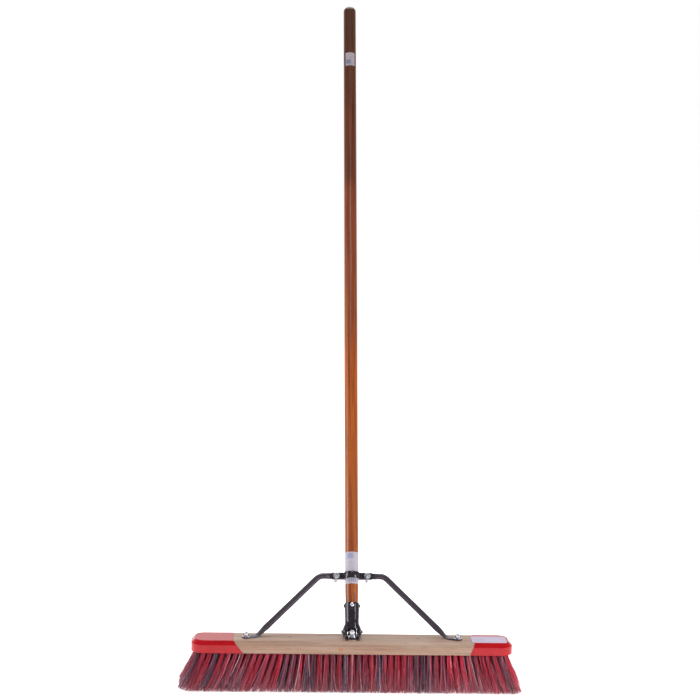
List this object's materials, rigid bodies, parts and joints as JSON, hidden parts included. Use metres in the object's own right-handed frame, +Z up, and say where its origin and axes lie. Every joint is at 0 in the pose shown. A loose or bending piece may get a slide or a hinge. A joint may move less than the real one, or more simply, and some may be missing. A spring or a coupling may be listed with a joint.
{
  "type": "push broom",
  "caption": "Push broom: wide hardwood block with dipped ends and stiff tufts under it, long wooden handle leaning back from a bolted steel socket, and two tube braces clamped to the handle.",
  "frame": {"origin": "on the floor under the middle of the block, at the bristle tips", "axes": "+Z up, +Y to the rear, the side the handle leans to, +X along the block"},
  "size_m": [0.6542, 0.7427, 1.2982],
  "materials": {
    "raw_hardwood": "bare sanded hardwood",
    "red_resin": "glossy red dipped resin",
    "bristle": "mixed red and dark grey synthetic fibre",
    "staple_wire": "drawn steel wire",
    "lacquered_wood": "orange-brown lacquered hardwood",
    "black_steel": "black powder coat on steel",
    "zinc_steel": "bright zinc-plated steel",
    "label_paper": "white printed label stock"
  },
  "bodies": {
    "root": {"block": "raw_hardwood", "dip_coat_left": "red_resin", "dip_coat_right": "red_resin", "tuft_row_1": "bristle", "tuft_row_2": "bristle", "tuft_row_3": "bristle", "tuft_row_4": "bristle", "tuft_row_5": "bristle", "tuft_staples": "staple_wire", "handle": "lacquered_wood", "socket": "black_steel", "socket_rivet": "black_steel", "socket_screw": "zinc_steel", "ear_rivet_left": "black_steel", "ear_rivet_right": "black_steel", "base_bracket": "black_steel", "main_bolt": "zinc_steel", "main_washer": "zinc_steel", "main_lock_washer": "zinc_steel", "main_nut": "zinc_steel", "brace_arm_left": "black_steel", "brace_arm_right": "black_steel", "collar_front": "black_steel", "collar_rear": "black_steel", "collar_bolt_left": "zinc_steel", "collar_bolt_right": "zinc_steel", "collar_nut_left": "zinc_steel", "collar_nut_right": "zinc_steel", "foot_bolt_left": "zinc_steel", "foot_bolt_right": "zinc_steel", "foot_washer_left": "zinc_steel", "foot_washer_right": "zinc_steel", "foot_nut_left": "zinc_steel", "foot_nut_right": "zinc_steel", "handle_sticker": "label_paper", "handle_label": "label_paper", "block_sticker": "label_paper"}
  },
  "joints": []
}
